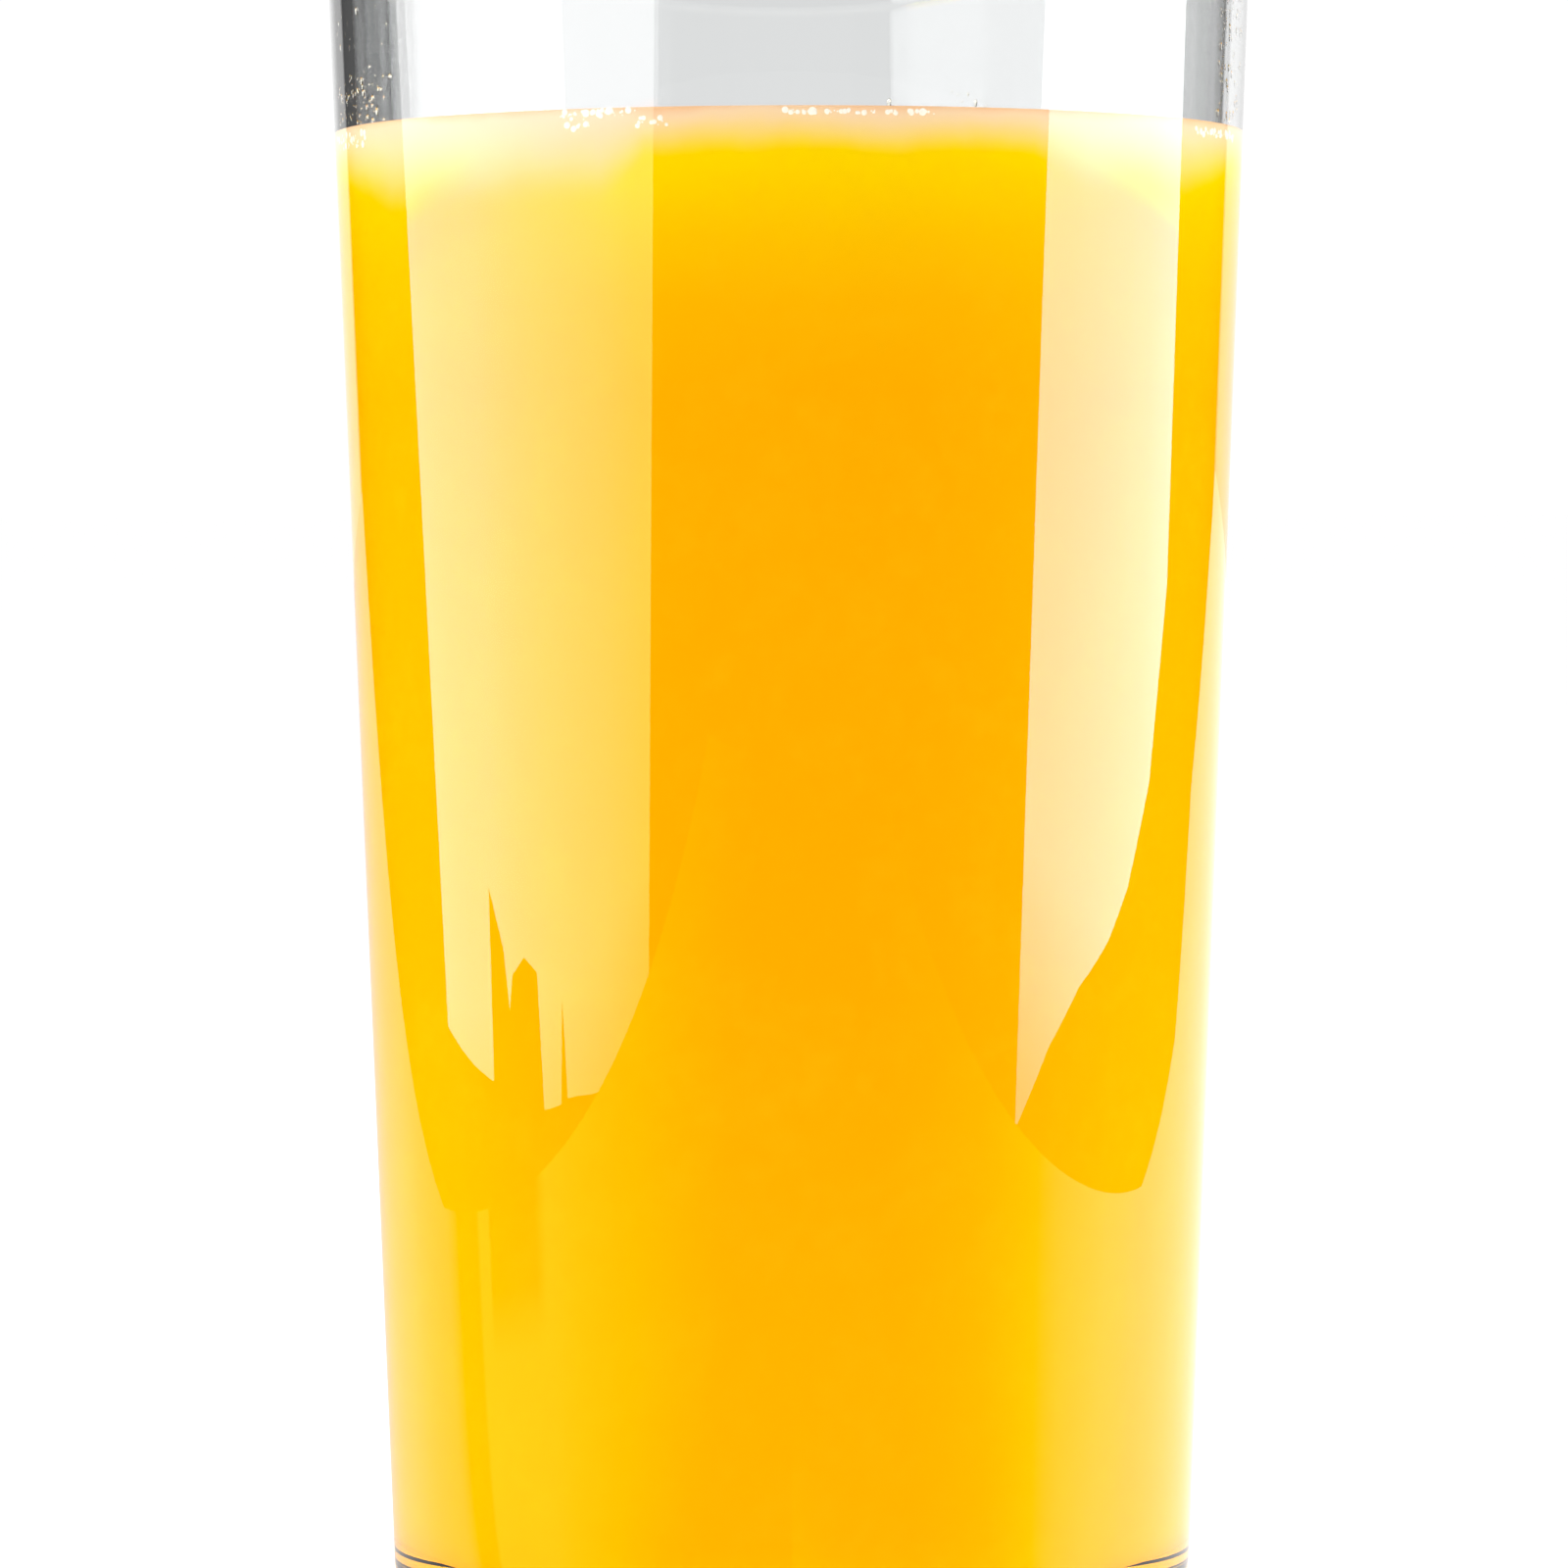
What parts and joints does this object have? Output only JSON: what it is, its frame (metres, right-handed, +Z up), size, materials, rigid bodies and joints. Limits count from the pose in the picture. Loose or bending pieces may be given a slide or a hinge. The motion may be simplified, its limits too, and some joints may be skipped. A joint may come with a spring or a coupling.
{
  "type": "glass of orange juice",
  "caption": "Straight-sided clear glass tumbler, widening slightly upwards, filled with opaque orange juice to a level under its rim.",
  "frame": {"origin": "centre of the base, on the surface that the glass stands on", "axes": "+Z up along the glass's axis, towards the rim; round about Z, so +X and +Y are free, and -Y faces the viewer"},
  "size_m": [0.0696, 0.0696, 0.133],
  "materials": {
    "clear_glass": "clear fire-polished soda-lime glass, smooth and glossy",
    "orange_juice": "opaque cloudy orange juice, warm orange-yellow, paler at its surface"
  },
  "bodies": {
    "root": {"tumbler": "clear_glass", "juice": "orange_juice"}
  },
  "joints": []
}
